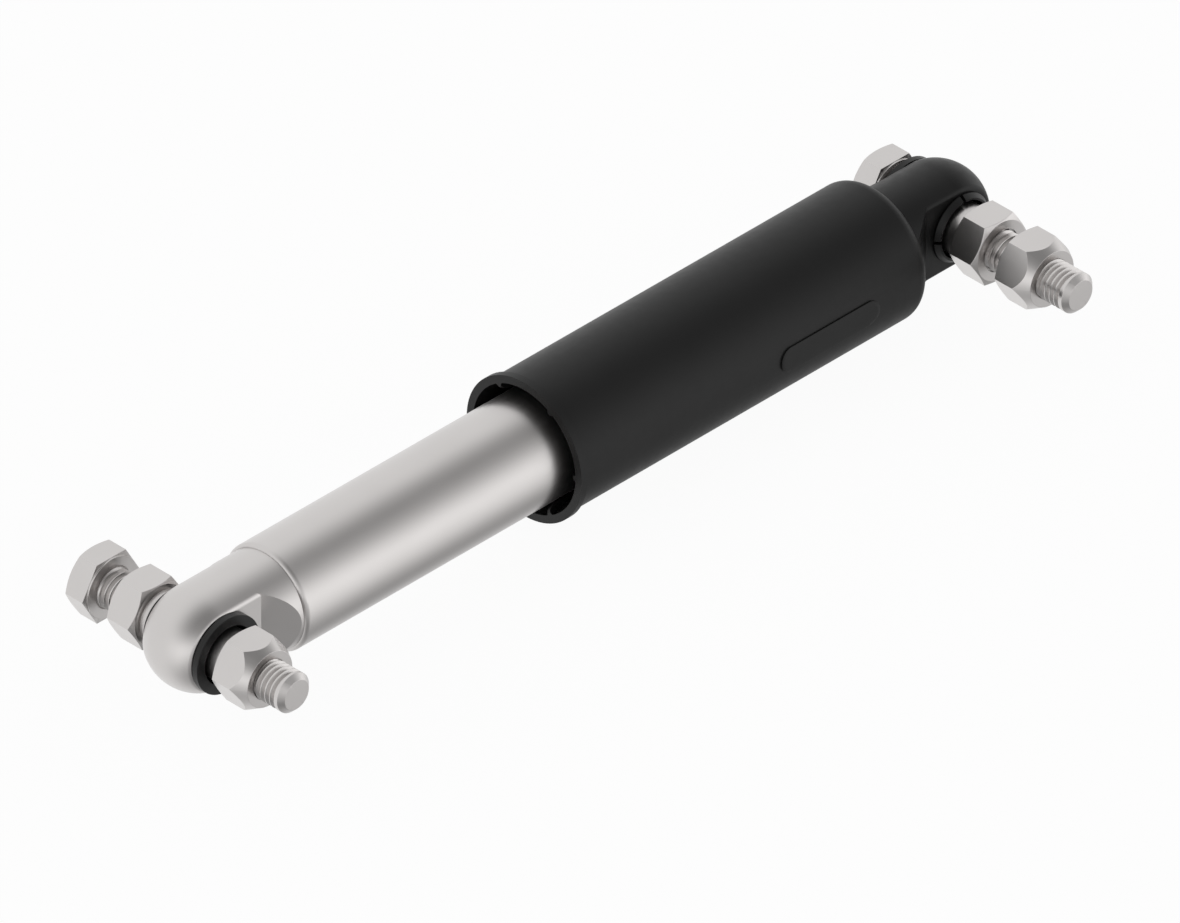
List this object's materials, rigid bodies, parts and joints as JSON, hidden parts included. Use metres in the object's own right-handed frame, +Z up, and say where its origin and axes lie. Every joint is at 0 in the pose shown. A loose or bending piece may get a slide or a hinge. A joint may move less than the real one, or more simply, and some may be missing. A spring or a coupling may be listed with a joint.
{
  "type": "trailer shock absorber",
  "caption": "Twin-tube telescopic shock absorber for a trailer axle, with a ribbed dust cover and an eye, bush and through bolt at each end.",
  "frame": {"origin": "centre of the lower eye, on the axis of its bolt", "axes": "+X runs up the damper to the upper eye, +Y along both bolts towards their heads, +Z up with the damper lying level"},
  "size_m": [0.31, 0.0958, 0.0438],
  "materials": {
    "plated_tube": "satin zinc plate",
    "plated_fastener": "satin zinc plate",
    "black_paint": "satin black",
    "cover_plastic": "fine moulded black",
    "bush_plastic": "moulded black",
    "bare_steel": "oiled",
    "spring_steel": "blued",
    "sintered_iron": "oiled",
    "hard_chrome": "ground",
    "bronze": "bearing",
    "ring_plastic": "filled PTFE",
    "seal_rubber": "moulded",
    "buffer_rubber": "moulded"
  },
  "bodies": {
    "tube": {"reservoir_tube": "plated_tube", "lower_eye": "plated_tube", "working_cylinder": "bare_steel", "foot_valve_body": "sintered_iron", "foot_valve_shims": "spring_steel", "foot_valve_plate": "spring_steel", "foot_valve_spring": "spring_steel", "foot_valve_rivet": "bare_steel", "rod_guide": "sintered_iron", "guide_bush": "bronze", "rod_seal": "seal_rubber", "seal_spring": "spring_steel", "seal_washer": "bare_steel"},
    "ring": {"piston_ring": "ring_plastic"},
    "rod": {"piston_rod": "hard_chrome", "piston": "sintered_iron", "piston_nut": "bare_steel", "rebound_shims": "spring_steel", "intake_shim": "spring_steel", "stop_washer": "bare_steel", "rebound_buffer": "buffer_rubber", "dust_cover": "cover_plastic", "upper_eye": "black_paint", "cover_washer": "bare_steel", "rod_lock_nut": "bare_steel", "bump_stop": "buffer_rubber"},
    "lower_bearing": {"lower_bush": "bush_plastic"},
    "lower_fastening": {"lower_bolt": "plated_fastener", "lower_sleeve": "plated_fastener", "lower_plain_nut": "plated_fastener", "lower_lock_nut": "plated_fastener"},
    "upper_bearing": {"upper_bush": "bush_plastic"},
    "upper_fastening": {"upper_bolt": "plated_fastener", "upper_sleeve": "plated_fastener", "upper_plain_nut": "plated_fastener", "upper_lock_nut": "plated_fastener"}
  },
  "joints": [
    {"name": "rod_stroke", "type": "slide", "parent": "tube", "child": "ring", "axis": [1, 0, 0], "range_m": [-0.04, 0.06]},
    {"name": "rod_spin", "type": "hinge", "parent": "ring", "child": "rod", "pos_m": [0, 0, 0], "axis": [1, 0, 0], "continuous": true},
    {"name": "lower_eye_turn", "type": "hinge", "parent": "tube", "child": "lower_bearing", "pos_m": [0, 0, 0], "axis": [0, 1, 0], "continuous": true},
    {"name": "lower_side_float", "type": "slide", "parent": "lower_bearing", "child": "lower_fastening", "axis": [0, 1, 0], "range_m": [-0.0031, 0.0034]},
    {"name": "upper_eye_turn", "type": "hinge", "parent": "rod", "child": "upper_bearing", "pos_m": [0.28, 0, 0], "axis": [0, 1, 0], "continuous": true},
    {"name": "upper_side_float", "type": "slide", "parent": "upper_bearing", "child": "upper_fastening", "axis": [0, 1, 0], "range_m": [-0.0028, 0.0037]}
  ]
}
